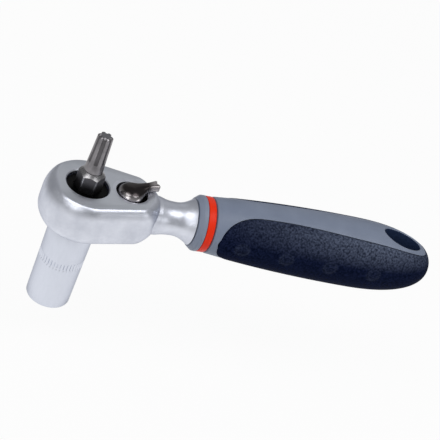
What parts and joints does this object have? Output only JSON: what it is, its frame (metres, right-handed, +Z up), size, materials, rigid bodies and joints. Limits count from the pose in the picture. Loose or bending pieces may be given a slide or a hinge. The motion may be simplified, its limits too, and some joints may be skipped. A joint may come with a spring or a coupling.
{
  "type": "bit ratchet handle",
  "caption": "Stubby reversible bit ratchet with a pear-shaped head, a soft two-colour grip, a mounted socket below and a screwdriver bit above.",
  "frame": {"origin": "middle of the footprint, at the height of the socket's end face", "axes": "+Z up along the drive axis from the socket to the bit, +X from the head along the handle, +Y to the left of the handle"},
  "size_m": [0.1102, 0.0224, 0.0534],
  "materials": {
    "satin_chrome": "satin",
    "dark_nickel": "polished dark nickel",
    "black_oxide": "black oxide",
    "tool_steel": "hardened, grey-brown",
    "spring_steel": "bright",
    "grey_plastic": "satin",
    "red_plastic": "gloss",
    "dark_rubber": "fine leather grain"
  },
  "bodies": {
    "handle": {"ratchet_body": "satin_chrome", "cover_plate": "satin_chrome", "cover_snap_ring": "spring_steel", "gear_friction_washer": "spring_steel", "handle_collar": "grey_plastic", "accent_ring": "red_plastic", "grip_core": "grey_plastic", "grip_sleeve": "dark_rubber"},
    "drive": {"drive_gear": "black_oxide", "gear_dust_seal": "dark_rubber", "bit_magnet": "spring_steel", "detent_spring": "spring_steel"},
    "ball": {"detent_ball": "spring_steel"},
    "socket": {"socket": "satin_chrome"},
    "bit": {"bit": "tool_steel"},
    "lever": {"reversing_lever": "dark_nickel", "lever_snap_ring": "spring_steel", "pawl_spring": "spring_steel"},
    "plunger": {"pawl_plunger": "tool_steel"},
    "pawl": {"pawl": "tool_steel"}
  },
  "joints": [
    {"name": "drive_spin", "type": "hinge", "parent": "handle", "child": "drive", "pos_m": [-0.0443, 0, 0.0328], "axis": [0, 0, 1], "continuous": true},
    {"name": "socket_slide", "type": "slide", "parent": "drive", "child": "socket", "axis": [0, 0, -1], "range_m": [0, 0.012]},
    {"name": "bit_slide", "type": "slide", "parent": "drive", "child": "bit", "axis": [0, 0, 1], "range_m": [0, 0.012]},
    {"name": "ball_press", "type": "slide", "parent": "drive", "child": "ball", "axis": [0, -1, 0], "range_m": [0, 0.0004], "stiffness_N_per_m": 400, "deforming": ["detent_spring"]},
    {"name": "lever_turn", "type": "hinge", "parent": "handle", "child": "lever", "pos_m": [-0.0325, 0, 0.0379], "axis": [0, 0, 1], "range_deg": [-42, 0]},
    {"name": "pawl_rock", "type": "hinge", "parent": "handle", "child": "pawl", "pos_m": [-0.0356, 0, 0.03283], "axis": [0, 0, 1], "range_deg": [0, 8]},
    {"name": "plunger_press", "type": "slide", "parent": "lever", "child": "plunger", "axis": [0.9336, 0.3584, 0], "range_m": [0, 0.0004], "stiffness_N_per_m": 300, "deforming": ["pawl_spring"]}
  ],
  "couplings": [
    {"joint": "pawl_rock", "follows": "lever_turn", "ratio": -0.19048}
  ]
}
